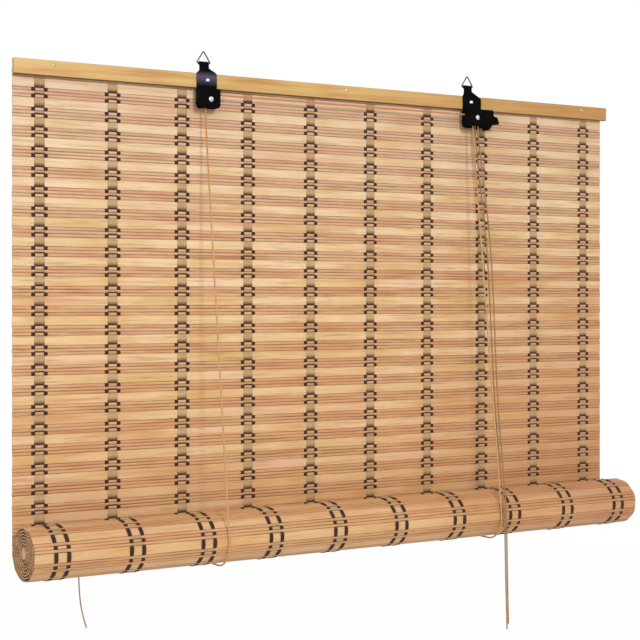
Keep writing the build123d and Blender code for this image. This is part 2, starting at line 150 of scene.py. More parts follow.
cream = colour(232, 202, 156)
straw = colour(222, 188, 132)
pink = colour(230, 192, 160)
honey = colour(210, 172, 108)
peach = colour(214, 170, 126)
clay = colour(202, 154, 108)
rust = colour(204, 132, 90)
olive = colour(198, 166, 108)
ripe_orange = colour(202, 146, 94)
burnt_orange = colour(188, 124, 78)
mauve = colour(208, 178, 158)
# Painted shade for the grooves between the slats
groove_painted_shade = colour(128, 80, 44)
rail_gold = colour(200, 158, 90)
rail_pale = colour(210, 172, 106)
rail_brown = colour(172, 124, 62)
rail_orange = colour(184, 124, 60)
# Painted shade for the rail's underside, which lies in shadow
rail_painted_shade = colour(66, 36, 22)
khaki_light = colour(202, 166, 122)
khaki_dark = colour(152, 114, 74)
yarn_black = colour(26, 8, 5)
yarn_brown = colour(56, 25, 14)
cord_orange = colour(204, 130, 82)
cord_orange_dark = colour(156, 86, 52)
cord_brown = colour(202, 158, 106)
cord_khaki = colour(182, 142, 94)
cord_khaki_dark = colour(128, 92, 56)
enamel_black = colour(2, 2, 2)
enamel_soft = colour(7, 7, 8)
# Painted sheen: a grey-violet reflection painted into the left plate's colour over the rail
painted_sheen_colour = colour(88, 82, 96)
wheel_black = colour(20, 20, 20)
wheel_grey = colour(44, 42, 40)

# Shares that multiply the colour under them
plain = (1, 1, 1, 1)
none = (0, 0, 0, 1)
olive_wash = (0.92, 0.88, 0.74, 1)
rosy_wash = (1.05, 1.02, 1.05, 1)
dark_streak = (0.66, 0.54, 0.44, 1)
pale_streak = (1.08, 1.10, 1.10, 1)
dark_hair = (0.8, 0.74, 0.68, 1)
pale_hair = (1.1, 1.1, 1.1, 1)


# Materials
def new_material(name, roughness, **sockets):
    """A material, its node tree and its shader, with other sockets set by name."""
    material = bpy.data.materials.new(name)
    material.use_nodes = True
    shader = material.node_tree.nodes["Principled BSDF"]
    shader.inputs["Roughness"].default_value = roughness
    for socket, value in sockets.items():
        shader.inputs[socket.replace("_", " ")].default_value = value
    return material, material.node_tree, shader


def node(tree, kind, settings=None, **inputs):
    """A new node; inputs are linked where they are sockets and set where they are values."""
    made = tree.nodes.new(kind)
    for key, value in (settings or {}).items():
        setattr(made, key, value)
    for key, value in inputs.items():
        socket = made.inputs[int(key[1:])] if key[0] == "i" and key[1:].isdigit() else made.inputs[key]
        if isinstance(value, bpy.types.NodeSocket):
            tree.links.new(value, socket)
        else:
            socket.default_value = value
    return made


def maths(tree, operation, first, second=0.0):
    return node(tree, "ShaderNodeMath", {"operation": operation}, i0=first, i1=second).outputs[0]


def vector_maths(tree, operation, *inputs):
    values = {f"i{i}": value for i, value in enumerate(inputs)}
    return node(tree, "ShaderNodeVectorMath", {"operation": operation}, **values).outputs[0]


def ranged(tree, value, start, end, low, high):
    """low where the value is start and before it, high where it is end and past it."""
    return node(tree, "ShaderNodeMapRange", Value=value, i1=start, i2=end, i3=low, i4=high).outputs[0]


def object_place(tree):
    return node(tree, "ShaderNodeTexCoord").outputs["Object"]


def place_parts(tree):
    return node(tree, "ShaderNodeSeparateXYZ", i0=object_place(tree)).outputs


def noise(tree, place, detail=2.0, roughness=0.5):
    made = node(tree, "ShaderNodeTexNoise", Vector=place, Scale=1.0, Detail=detail, Roughness=roughness)
    return made.outputs["Fac"]


def stretched_noise(tree, stretch, detail=2.0, roughness=0.5):
    """Noise on Object coordinates that are multiplied by stretch."""
    place = node(tree, "ShaderNodeMapping", Vector=object_place(tree), Scale=stretch).outputs[0]
    return noise(tree, place, detail, roughness)


def ramp(tree, factor, *stops):
    made = node(tree, "ShaderNodeValToRGB", Fac=factor)
    elements = made.color_ramp.elements
    while len(elements) < len(stops):
        elements.new(0.5)
    for element, (place, tint) in zip(elements, stops):
        element.position = place
        element.color = tint
    return made.outputs["Color"]


def blended(tree, factor, first, second, mode="MIX"):
    settings = {"data_type": "RGBA", "blend_type": mode}
    return node(tree, "ShaderNodeMix", settings, i0=factor, i6=first, i7=second).outputs[2]


def attribute(tree, name):
    return node(tree, "ShaderNodeAttribute", {"attribute_name": name}).outputs["Fac"]


def bumped(tree, shader, height, strength, distance):
    made = node(tree, "ShaderNodeBump", Height=height, Strength=strength, Distance=distance)
    tree.links.new(made.outputs[0], shader.inputs["Normal"])


def bamboo_material():
    """Split bamboo: pale wide slats and browner sticks, streaked along them, with painted shade in the
    grooves.
    """
    material, tree, shader = new_material("split_bamboo", 0.5)
    parts = place_parts(tree)
    row = maths(tree, "MULTIPLY", attribute(tree, "tone"), 61.0)
    along = node(tree, "ShaderNodeCombineXYZ", X=parts["X"], Y=row).outputs[0]

    def drift(scale):
        """Noise along the slats, different for each tone."""
        stretched = node(tree, "ShaderNodeMapping", Vector=along, Scale=(scale, 1, 1)).outputs[0]
        return noise(tree, stretched, 3.0, 0.6)

    wide = ramp(tree, drift(6), (0.32, honey), (0.44, straw), (0.56, cream), (0.70, pink))
    stick = ramp(tree, drift(9), (0.30, rust), (0.42, clay), (0.56, peach), (0.68, olive))
    tint = blended(tree, attribute(tree, "stick"), wide, stick)

    blotch = stretched_noise(tree, (6, 150, 150))
    wash = ramp(tree, blotch, (0.36, olive_wash), (0.50, plain), (0.66, rosy_wash))
    tint = blended(tree, 0.9, tint, wash, "MULTIPLY")
    streak = stretched_noise(tree, (15, 400, 400), 3.0, 0.65)
    shade = ramp(tree, streak, (0.34, dark_streak), (0.46, plain), (0.68, pale_streak))
    tint = blended(tree, 0.85, tint, shade, "MULTIPLY")
    patch = stretched_noise(tree, (5, 85, 85))
    tint = blended(tree, ranged(tree, patch, 0.56, 0.72, 0.0, 0.6), tint, rust)

    # More orange downwards, most of all at the right, and more mauve at the top
    fallen = ranged(tree, parts["Z"], -0.15, -0.60, 0.0, 0.5)
    tint = blended(tree, fallen, tint, ripe_orange)
    rightwards = ranged(tree, parts["X"], 0.05, 0.50, 0.0, 0.6)
    corner = maths(tree, "MULTIPLY", rightwards, maths(tree, "MULTIPLY", fallen, 2.0))
    tint = blended(tree, corner, tint, burnt_orange)
    tint = blended(tree, ranged(tree, parts["Z"], -0.30, -0.02, 0.0, 0.4), tint, mauve)

    fibre = stretched_noise(tree, (9, 1500, 1500), 3.0, 0.65)
    hair = ramp(tree, fibre, (0.3, dark_hair), (0.7, pale_hair))
    tint = blended(tree, 0.4, tint, hair, "MULTIPLY")
    # Painted shade: the slats' edges, broken up along them, darken to brown where the grooves lie in
    # shade
    broken = ranged(tree, drift(15), 0.36, 0.60, 0.12, 0.85)
    painted_groove_mask = maths(tree, "MULTIPLY", attribute(tree, "edge"), broken)
    tint = blended(tree, painted_groove_mask, tint, groove_painted_shade)
    tree.links.new(tint, shader.inputs["Base Color"])
    bumped(tree, shader, fibre, 0.5, 0.0003)
    return material


def thread_material(name, light, dark, threads_across, twist):
    """Yarns laid side by side; the piece's UV runs across (U) and along (V, in millimetres)."""
    material, tree, shader = new_material(name, 0.85)
    uv = node(tree, "ShaderNodeUVMap", {"uv_map": "yarns"}).outputs[0]
    split = node(tree, "ShaderNodeSeparateXYZ", i0=uv)
    lane = maths(tree, "MULTIPLY", split.outputs["X"], threads_across * 2 * pi)
    ridge = maths(tree, "ABSOLUTE", maths(tree, "SINE", maths(tree, "MULTIPLY", lane, 0.5)))
    slanted = maths(tree, "ADD", maths(tree, "MULTIPLY", split.outputs["Y"], twist), lane)
    ply = maths(tree, "MULTIPLY", maths(tree, "SINE", slanted), 0.25)
    fuzz = stretched_noise(tree, (900, 900, 900), 3.0)
    height = maths(tree, "ADD", maths(tree, "ADD", ridge, ply), fuzz)
    patch = stretched_noise(tree, (30, 60, 60))
    tint = ramp(tree, maths(tree, "MULTIPLY", height, 0.6), (0.15, dark), (0.75, light))
    tint = blended(tree, 0.35, tint, ramp(tree, patch, (0.3, dark), (0.7, light)))
    # Painted shade where the strip dives between the slats
    tint = blended(tree, attribute(tree, "painted_dive_shade"), tint, yarn_brown)
    tree.links.new(tint, shader.inputs["Base Color"])
    bumped(tree, shader, height, 0.6, 0.0004)
    return material


def rail_material():
    """Varnished golden wood, its grain along the rail, more orange to the right, with painted shade on
    its underside.
    """
    material, tree, shader = new_material("varnished_batten", 0.42, Coat_Weight=0.08, Coat_Roughness=0.3)
    parts = place_parts(tree)
    grain = stretched_noise(tree, (5, 240, 240), 4.0, 0.65)
    cloud = stretched_noise(tree, (9, 60, 60))
    tint = ramp(tree, grain, (0.36, rail_brown), (0.48, rail_gold), (0.62, rail_pale))
    clouded = ramp(tree, cloud, (0.38, rail_orange), (0.50, rail_gold), (0.62, rail_pale))
    tint = blended(tree, 0.4, tint, clouded)
    rightwards = ranged(tree, parts["X"], 0.0, 0.5, 0.0, 0.75)
    tint = blended(tree, rightwards, tint, blended(tree, grain, rail_orange, rail_brown))
    # Painted shade: the rail's underside is darkened by height, where it lies in shadow
    under = ranged(tree, parts["Z"], rail_bottom + 1.2 * MM, rail_bottom + 0.3 * MM, 0.0, 0.9)
    tint = blended(tree, under, tint, rail_painted_shade)
    tree.links.new(tint, shader.inputs["Base Color"])
    bumped(tree, shader, grain, 0.25, 0.0004)
    return material


def raw_wood_material():
    material, tree, shader = new_material("raw_dowel", 0.6)
    grain = stretched_noise(tree, (6, 400, 400), 3.0)
    tree.links.new(ramp(tree, grain, (0.3, clay), (0.7, straw)), shader.inputs["Base Color"])
    bumped(tree, shader, grain, 0.3, 0.0004)
    return material


def enamel_material(name, band):
    """Black enamel, slightly orange-peeled, with a band of another colour over the rail; for the left
    plate that band is a painted sheen.
    """
    material, tree, shader = new_material(name, 0.3)
    shader.inputs["Specular IOR Level"].default_value = 0.04
    patch = stretched_noise(tree, (60, 60, 60))
    tint = ramp(tree, patch, (0.3, enamel_black), (0.7, enamel_soft))
    # The band over the rail is painted; on the left plate it is a painted sheen, not a colour of the
    # enamel
    share = ranged(tree, place_parts(tree)["Z"], -0.010, 0.016, 0.0, 1.0)
    mask = ramp(tree, share, (0.1, none), (0.6, plain), (0.9, none))
    tree.links.new(blended(tree, mask, tint, band), shader.inputs["Base Color"])
    bumped(tree, shader, stretched_noise(tree, (700, 700, 700)), 0.12, 0.0003)
    return material


def steel_material(name, light, dark, roughness):
    material, tree, shader = new_material(name, roughness, Metallic=1.0)
    patch = stretched_noise(tree, (350, 350, 350), 3.0)
    tree.links.new(ramp(tree, patch, (0.35, dark), (0.65, light)), shader.inputs["Base Color"])
    bumped(tree, shader, patch, 0.15, 0.0002)
    return material


def wheel_material():
    material, tree, shader = new_material("moulded_wheel", 0.45)
    patch = stretched_noise(tree, (500, 500, 500))
    tree.links.new(ramp(tree, patch, (0.3, wheel_black), (0.7, wheel_grey)), shader.inputs["Base Color"])
    bumped(tree, shader, patch, 0.2, 0.0002)
    return material


def lift_cord_material():
    """Twisted cord with slanting plies, more orange near the brackets."""
    material, tree, shader = new_material("lift_cord_twist", 0.8)
    parts = place_parts(tree)
    slant = maths(tree, "ADD", maths(tree, "ADD", parts["X"], parts["Y"]), parts["Z"])
    wave = maths(tree, "SINE", maths(tree, "MULTIPLY", slant, 2 * pi / lift_cord_ply))
    ply = node(tree, "ShaderNodeMath", {"operation": "MULTIPLY_ADD"}, i0=wave, i1=0.5, i2=0.5).outputs[0]
    height = maths(tree, "ADD", ply, stretched_noise(tree, (1200, 1200, 1200)))
    near = ramp(tree, height, (0.1, cord_orange_dark), (0.8, cord_orange))
    far = ramp(tree, height, (0.1, cord_khaki_dark), (0.8, cord_brown))
    fallen = ranged(tree, parts["Z"], -0.06, -0.20, 0.0, 1.0)
    tree.links.new(blended(tree, fallen, near, far), shader.inputs["Base Color"])
    bumped(tree, shader, height, 0.5, 0.0003)
    return material


bamboo = bamboo_material()
khaki_yarns = thread_material("khaki_yarns", khaki_light, khaki_dark, 6, 3.0)
dark_yarns = thread_material("dark_yarns", yarn_brown, yarn_black, 3, 3.0)
pull_cord_plies = thread_material("pull_cord_plies", cord_khaki, cord_khaki_dark, 6, 1.5)
batten_varnish = rail_material()
raw_wood = raw_wood_material()
enamel = enamel_material("black_enamel", enamel_soft)
painted_sheen_enamel = enamel_material("painted_sheen_enamel", painted_sheen_colour)
ring_steel = steel_material("ring_wire", colour(112, 112, 118), colour(66, 66, 72), 0.3)
nail_steel = steel_material("nail_heads", colour(206, 186, 150), colour(160, 138, 104), 0.45)
screw_steel = steel_material("screw_heads", colour(225, 225, 230), colour(170, 170, 178), 0.22)
wheel_plastic = wheel_material()
lift_cord_twist = lift_cord_material()

node_materials = {
    "front_batten": batten_varnish,
    "back_batten": batten_varnish,
    "batten_nails": nail_steel,
    "bottom_dowel": raw_wood,
    # The left plate carries a painted sheen
    "left_bracket_plate": painted_sheen_enamel,
    "right_bracket_plate": enamel,
    "left_bracket_screw": screw_steel,
    "right_bracket_screw": screw_steel,
    "left_hanger_ring": ring_steel,
    "right_hanger_ring": ring_steel,
    "left_pulley_housing": enamel,
    "lock_housing": enamel,
    "lock_cam": enamel,
    "left_pulley": wheel_plastic,
    "right_rear_pulley": wheel_plastic,
    "right_front_pulley": wheel_plastic,
    "left_axle_rivet": screw_steel,
    "right_axle_rivet": screw_steel,
    "cam_rivet": enamel,
    "left_lift_cord": lift_cord_twist,
    "right_lift_cord": lift_cord_twist,
}


def dress_nodes():
    for name, material in node_materials.items():
        slots = frame["nodes"][name].data.materials
        slots.clear()
        slots.append(material)


# The mat's middle line: straight down behind the roll, then an oval spiral, front and inwards
mat_mid_y = (mat_back_y + mat_front_y) / 2
roll_semi_y = (roll_depth - stick_thickness + turn_pitch_y / 2) / 2
roll_semi_z = (roll_height - stick_thickness + turn_pitch_z) / 2
roll_y = mat_mid_y - roll_semi_y
roll_z = -roll_drop + turn_pitch_z / 4


def spiral_point(turn):
    turns = turn / (2 * pi)
    y = roll_y + (roll_semi_y - turn_pitch_y * turns) * cos(turn)
    z = roll_z - (roll_semi_z - turn_pitch_z * turns) * sin(turn)
    return y, z


def mat_line(length):
    points = [(mat_mid_y, mat_top), (mat_mid_y, roll_z)]
    lengths = [0.0, mat_top - roll_z]
    turn = 0.0
    while lengths[-1] < length:
        turn += path_step
        y, z = spiral_point(turn)
        lengths.append(lengths[-1] + hypot(y - points[-1][0], z - points[-1][1]))
        points.append((y, z))
    return points, lengths


def mat_rows():
    """Start, width, thickness and kind of each slat and stick; kinds are top, outer, middle and wide."""
    rows = [(0.0, top_slat_width, slat_thickness, "top")]
    start = top_slat_width + slat_gap
    for _ in range(repeat_count):
        for kind in ("outer", "middle", "outer"):
            rows.append((start, stick_width, stick_thickness, kind))
            start += stick_width + slat_gap
        rows.append((start, slat_width, slat_thickness, "wide"))
        start += slat_width + slat_gap
    return rows


rows = mat_rows()
line_points, line_lengths = mat_line(rows[-1][0] + 2 * slat_width)


def point_at(distance):
    i = min(max(bisect_right(line_lengths, distance), 1), len(line_lengths) - 1)
    share = (distance - line_lengths[i - 1]) / (line_lengths[i] - line_lengths[i - 1])
    (y0, z0), (y1, z1) = line_points[i - 1], line_points[i]
    return y0 + share * (y1 - y0), z0 + share * (z1 - z0)


# Meshes
def mesh_object(name, points, faces, material=None):
    mesh = bpy.data.meshes.new(name)
    mesh.from_pydata(points, [], faces)
    if material:
        mesh.materials.append(material)
    made = bpy.data.objects.new(name, mesh)
    bpy.context.scene.collection.objects.link(made)
    return made


def point_values(mesh, name, values):
    layer = mesh.attributes.new(name, "FLOAT", "POINT")
    layer.data.foreach_set("value", values)


def lay_uvs(mesh, uvs):
    """Each point's place across and along its yarns, on the map that the yarns' materials read."""
    layer = mesh.uv_layers.new(name="yarns")
    for loop in mesh.loops:
        layer.data[loop.index].uv = uvs[loop.vertex_index]


def slat_pattern(name, width, thickness, corner, is_stick):
    """One slat with half of the web to each neighbour, rounded edges and a crowned face."""
    half, high, web = width / 2, thickness / 2, web_thickness / 2
    reach = half + slat_gap / 2
    top = [(reach, web, 1.0), (half, web, 1.0), (half - 0.3 * corner, 0.72 * high, 0.35),
           (half - corner, 0.94 * high, 0.0), (0.0, high, 0.0)]
    upper = top + [(-z, y, e) for z, y, e in top[-2::-1]]
    profile = upper + [(z, -y, e) for z, y, e in upper[::-1]]
    points = []
    edges = []
    for i in range(slat_stations):
        x = mat_left + mat_width * i / (slat_stations - 1)
        points += [(x, y, z) for z, y, _ in profile]
        edges += [e for _, _, e in profile]
    count = len(profile)
    faces = []
    for i in range(slat_stations - 1):
        for j in range(count):
            k = (j + 1) % count
            faces.append((i * count + j, (i + 1) * count + j, (i + 1) * count + k, i * count + k))
    faces.append(tuple(range(count)))
    faces.append(tuple(range((slat_stations - 1) * count, slat_stations * count))[::-1])
    pattern = mesh_object(name, points, faces)
    point_values(pattern.data, "edge", edges)
    # The edge share tells where the painted groove shade falls
    point_values(pattern.data, "stick", [is_stick] * len(points))
    return pattern


def row_places():
    """One vertex for each slat, with its tilt and its kind as attributes."""
    kinds = ("top", "stick", "wide")
    places, tilts, kind_numbers = [], [], []
    for start, width, _, kind in rows:
        (y0, z0), (y1, z1) = point_at(start), point_at(start + width)
        places.append((0.0, (y0 + y1) / 2, (z0 + z1) / 2))
        tilts.append(atan2(y1 - y0, z0 - z1))
        kind_numbers.append(float(kinds.index("stick" if kind in ("outer", "middle") else kind)))
    holder = mesh_object("slat_places", places, [])
    point_values(holder.data, "tilt", tilts)
    point_values(holder.data, "kind", kind_numbers)
    return holder


def new_tree(name, inputs):
    """A Geometry Nodes tree with named inputs; returns it with its group input and output nodes."""
    tree = bpy.data.node_groups.new(name, "GeometryNodeTree")
    tree.interface.new_socket("Geometry", in_out="INPUT", socket_type="NodeSocketGeometry")
    for label, kind in inputs:
        tree.interface.new_socket(label, in_out="INPUT", socket_type=kind)
    tree.interface.new_socket("Geometry", in_out="OUTPUT", socket_type="NodeSocketGeometry")
    return tree, tree.nodes.new("NodeGroupInput"), tree.nodes.new("NodeGroupOutput")


def named_value(tree, name):
    return node(tree, "GeometryNodeInputNamedAttribute", {"data_type": "FLOAT"}, Name=name).outputs[0]


def finish(tree, geometry, given, result):
    material = given.outputs["Material"]
    coated = node(tree, "GeometryNodeSetMaterial", Geometry=geometry, Material=material).outputs[0]
    tree.links.new(coated, result.inputs[0])


def slat_tree():
    """Lays a pattern on each place, tilted, with a tone of its own, and makes the slats uneven."""
    patterns = ("Top slat", "Stick", "Wide slat")
    inputs = [(label, "NodeSocketObject") for label in patterns]
    inputs += [("Wander", "NodeSocketFloat"), ("End wander", "NodeSocketFloat")]
    inputs += [("Seed", "NodeSocketInt"), ("Material", "NodeSocketMaterial")]
    tree, given, result = new_tree("lay_slats", inputs)
    kind = named_value(tree, "kind")
    tilt = node(tree, "ShaderNodeCombineXYZ", X=named_value(tree, "tilt")).outputs[0]
    turn = node(tree, "FunctionNodeEulerToRotation", Euler=tilt).outputs[0]
    joined = tree.nodes.new("GeometryNodeJoinGeometry")
    for number, label in enumerate(patterns):
        pattern = node(tree, "GeometryNodeObjectInfo", Object=given.outputs[label]).outputs["Geometry"]
        equal = {"operation": "EQUAL"}
        same = node(tree, "FunctionNodeCompare", equal, i0=kind, i1=float(number)).outputs[0]
        laid = node(tree, "GeometryNodeInstanceOnPoints", Points=given.outputs["Geometry"],
                    Selection=same, Instance=pattern, Rotation=turn)
        tree.links.new(laid.outputs[0], joined.inputs[0])

    drawn = node(tree, "FunctionNodeRandomValue", {"data_type": "FLOAT"}, Seed=given.outputs["Seed"])
    stored = {"data_type": "FLOAT", "domain": "INSTANCE"}
    toned = node(tree, "GeometryNodeStoreNamedAttribute", stored, Geometry=joined.outputs[0], Name="tone",
                 Value=drawn.outputs[1]).outputs[0]
    real = node(tree, "GeometryNodeRealizeInstances", Geometry=toned).outputs[0]

    tone = named_value(tree, "tone")
    place = node(tree, "GeometryNodeInputPosition").outputs[0]
    row_place = node(tree, "ShaderNodeCombineXYZ", Y=maths(tree, "MULTIPLY", tone, 97.0)).outputs[0]
    stretched = vector_maths(tree, "MULTIPLY_ADD", place, (7, 0, 0), row_place)
    drift = node(tree, "ShaderNodeTexNoise", Vector=stretched, Scale=1.0, Detail=1.0).outputs["Color"]
    centred = vector_maths(tree, "SUBTRACT", drift, (0.5, 0.5, 0.5))
    crosswise = vector_maths(tree, "MULTIPLY", centred, (0, 1, 1))
    wander = node(tree, "ShaderNodeVectorMath", {"operation": "SCALE"}, i0=crosswise,
                  Scale=given.outputs["Wander"]).outputs[0]
    from_middle = maths(tree, "SUBTRACT", tone, 0.5)
    end_shift = maths(tree, "MULTIPLY", from_middle, given.outputs["End wander"])
    lengthwise = node(tree, "ShaderNodeCombineXYZ", X=end_shift).outputs[0]
    offset = vector_maths(tree, "ADD", wander, lengthwise)
    moved = node(tree, "GeometryNodeSetPosition", Geometry=real, Offset=offset).outputs[0]
    finish(tree, moved, given, result)
    return tree


def column_tree():
    """Repeats a strip once for each woven column."""
    inputs = [("Columns", "NodeSocketInt"), ("First", "NodeSocketFloat"), ("Pitch", "NodeSocketFloat"),
              ("Material", "NodeSocketMaterial")]
    tree, given, result = new_tree("repeat_columns", inputs)
    first = node(tree, "ShaderNodeCombineXYZ", X=given.outputs["First"]).outputs[0]
    step = node(tree, "ShaderNodeCombineXYZ", X=given.outputs["Pitch"]).outputs[0]
    ends = {"Start Location": first, "Offset": step}
    line = node(tree, "GeometryNodeMeshLine", Count=given.outputs["Columns"], **ends)
    laid = node(tree, "GeometryNodeInstanceOnPoints", Points=line.outputs[0],
                Instance=given.outputs["Geometry"])
    real = node(tree, "GeometryNodeRealizeInstances", Geometry=laid.outputs[0]).outputs[0]
    finish(tree, real, given, result)
    return tree


def grown(source, tree, name, values):
    """The plain mesh that a Geometry Nodes tree makes of source, with the tree's inputs set by name."""
    modifier = source.modifiers.new("grow", "NODES")
    modifier.node_group = tree
    for item in tree.interface.items_tree:
        if item.item_type == "SOCKET" and item.in_out == "INPUT" and item.name in values:
            modifier[item.identifier] = values[item.name]
    source.update_tag()
    bpy.context.view_layer.update()
    ready = source.evaluated_get(bpy.context.evaluated_depsgraph_get())
    mesh = bpy.data.meshes.new_from_object(ready)
    mesh.name = name
    source.modifiers.remove(modifier)
    made = bpy.data.objects.new(name, mesh)
    bpy.context.scene.collection.objects.link(made)
    return made


def discard(*objects):
    for item in objects:
        bpy.data.objects.remove(item)


def fitted(piece, slot, *nodes):
    """piece belongs to the blind's fixed body and stands for nodes."""
    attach(piece, "blind")
    if nodes:
        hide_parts(*nodes)


def slats():
    top = slat_pattern("top_slat_pattern", top_slat_width, slat_thickness, slat_corner, 0.0)
    stick = slat_pattern("stick_pattern", stick_width, stick_thickness, stick_corner, 1.0)
    wide = slat_pattern("wide_slat_pattern", slat_width, slat_thickness, slat_corner, 0.0)
    places = row_places()
    values = {"Top slat": top, "Stick": stick, "Wide slat": wide, "Wander": slat_wander,
              "End wander": slat_end_wander, "Seed": slat_seed, "Material": bamboo}
    piece = grown(places, slat_tree(), "bamboo_slats", values)
    discard(top, stick, wide, places)
    fitted(piece, "bamboo", "slat_mat")


# Woven strips
def weave_line(front_kinds, strip_thickness):
    """A yarn's middle line, in front of the kinds named and behind the others, with a share of painted
    shade where it dives between slats.
    """
    end = mat_top - roll_z + woven_turns_on_roll * pi * (roll_semi_y + roll_semi_z)
    line = []
    above = None
    for start, width, thickness, kind in rows:
        if mat_top - start > rail_bottom + slat_gap or start > end:
            continue
        side = -1 if kind in front_kinds else 1
        dives = above in front_kinds and kind not in front_kinds
        surfaces = above not in front_kinds and kind in front_kinds
        above = kind
        # The point before a dive gets full painted shade too
        if line and dives:
            y, z, distance, _ = line[-1]
            line[-1] = (y, z, distance, 1.0)
        lift = (thickness + strip_thickness) / 2
        edge = min(0.9 * MM, width / 4)
        # Painted shade: full where the strip dives behind a slat, half where it comes out in front
        painted_dive_shade = 1.0 if dives else 0.5 if surfaces else 0.0
        arch = ((-slat_gap / 2, 0.0, painted_dive_shade), (edge, 0.9 * lift, 0.0), (width / 2, 1.04 * lift, 0.0),
                (width - edge, 0.9 * lift, 0.0))
        for distance, height, shade in arch:
            y, z = point_at(start + distance)
            ahead_y, ahead_z = point_at(start + distance + 1 * MM)
            run = hypot(ahead_y - y, ahead_z - z)
            out_y, out_z = -(ahead_z - z) / run, (ahead_y - y) / run
            line.append((y + side * height * out_y, z + side * height * out_z, start + distance, shade))
    return line


def strip_mesh(name, line, middles, width, strip_thickness):
    """Flat round-edged strips along line at each of the middles across the column."""
    rim = min(strip_rim, width / 4)
    half = width / 2
    profile = [(-half, 0), (-half + rim, 1), (0, strip_crown), (half - rim, 1), (half, 0),
               (half - rim, -1), (0, -strip_crown), (-half + rim, -1)]
    points, uvs, shades, faces = [], [], [], []
    for middle in middles:
        base = len(points)
        for i, (y, z, distance, shade) in enumerate(line):
            (y0, z0, _, _), (y1, z1, _, _) = line[max(i - 1, 0)], line[min(i + 1, len(line) - 1)]
            run = hypot(y1 - y0, z1 - z0)
            out = (-(z1 - z0) / run, (y1 - y0) / run)
            for x, height in profile:
                rise = height * strip_thickness / 2
                points.append((middle + x, y + out[0] * rise, z + out[1] * rise))
                uvs.append((0.5 + x / width, distance / MM))
                shades.append(shade)
        count = len(profile)
        for i in range(len(line) - 1):
            for j in range(count):
                k = (j + 1) % count
                faces.append((base + i * count + k, base + (i + 1) * count + k,
                              base + (i + 1) * count + j, base + i * count + j))
        last = base + (len(line) - 1) * count
        faces.append(tuple(base + j for j in range(count)))
        faces.append(tuple(last + j for j in range(count))[::-1])
    made = mesh_object(name, points, faces)
    # The shade shares are painted shade where the strip dives
    point_values(made.data, "painted_dive_shade", shades)
    lay_uvs(made.data, uvs)
    return made


def weave():
    tree = column_tree()
    pitch = (mat_width - 2 * column_margin) / (column_count - 1)
    values = {"Columns": column_count, "First": mat_left + column_margin, "Pitch": pitch}
    tape_line = weave_line(("middle", "wide"), tape_thickness)
    yarn_line = weave_line(("outer",), yarn_thickness)
    beside = (-yarn_spacing / 2, yarn_spacing / 2)
    tape = strip_mesh("tape_strip", tape_line, (0.0,), tape_width, tape_thickness)
    yarns = strip_mesh("yarn_strips", yarn_line, beside, yarn_width, yarn_thickness)
    tapes = grown(tape, tree, "khaki_warps", {**values, "Material": khaki_yarns})
    darks = grown(yarns, tree, "dark_warps", {**values, "Material": dark_yarns})
    discard(tape, yarns)
    fitted(tapes, "khaki_yarn", "khaki_warp_tapes")
    fitted(darks, "dark_yarn", "dark_warp_yarns")


# Free cords: the routes' points, from the exit to the end
cord_exit_x = 232.0
rear_wheel_y = -19.85
front_wheel_y = -27.15
housing_bottom = -38.8
left_pull_route = (
    (cord_exit_x, rear_wheel_y, housing_bottom), (cord_exit_x, rear_wheel_y, housing_bottom - 10.0),
    (234.0, -22.6, -86.0), (237.6, -26.4, -134.0), (241.6, -32.0, -188.0),
    (242.4, -38.6, -246.0), (240.6, -45.9, -305.0), (237.6, -53.8, -364.0), (234.6, -62.4, -423.0),
    (232.2, -71.8, -482.0), (230.8, -81.8, -540.0), (230.2, -91.6, -592.0), (230.4, -95.6, -636.0),
    (231.4, -95.9, -682.0), (232.9, -95.7, -740.0), (234.9, -95.6, -798.0),
)
right_pull_route = (
    (cord_exit_x, front_wheel_y, housing_bottom), (cord_exit_x, front_wheel_y, housing_bottom - 10.0),
    (235.8, -28.8, -84.0), (240.6, -31.9, -132.0), (245.2, -36.2, -186.0),
    (246.4, -42.4, -244.0), (244.8, -49.5, -303.0), (241.6, -57.2, -362.0), (238.4, -65.4, -421.0),
    (235.8, -74.4, -480.0), (234.2, -83.9, -538.0), (233.5, -92.6, -590.0), (233.6, -95.8, -634.0),
    (234.4, -96.1, -680.0), (235.6, -95.9, -736.0), (237.4, -95.8, -790.0),
)


def spline_points(route):
    """Points along the smooth NURBS line of a route."""
    data = bpy.data.curves.new("route", "CURVE")
    data.dimensions = "3D"
    spline = data.splines.new("NURBS")
    spline.points.add(len(route) - 1)
    for point, place in zip(spline.points, route):
        point.co = (*place, 1.0)
    spline.order_u = 3
    spline.use_endpoint_u = True
    spline.resolution_u = 16
    holder = bpy.data.objects.new("route", data)
    bpy.context.scene.collection.objects.link(holder)
    bpy.context.view_layer.update()
    mesh = bpy.data.meshes.new_from_object(holder.evaluated_get(bpy.context.evaluated_depsgraph_get()))
    points = [v.co.copy() for v in mesh.vertices]
    discard(holder)
    return points


def even_points(points, step):
    """The same line with points a fixed step apart."""
    even, carried = [points[0]], 0.0
    for before, here in zip(points, points[1:]):
        run = (here - before).length
        place = step - carried
        while place < run:
            even.append(before.lerp(here, place / run))
            place += step
        carried = (carried + run) % step
    if (points[-1] - even[-1]).length > step / 4:
        even.append(points[-1])
    return even


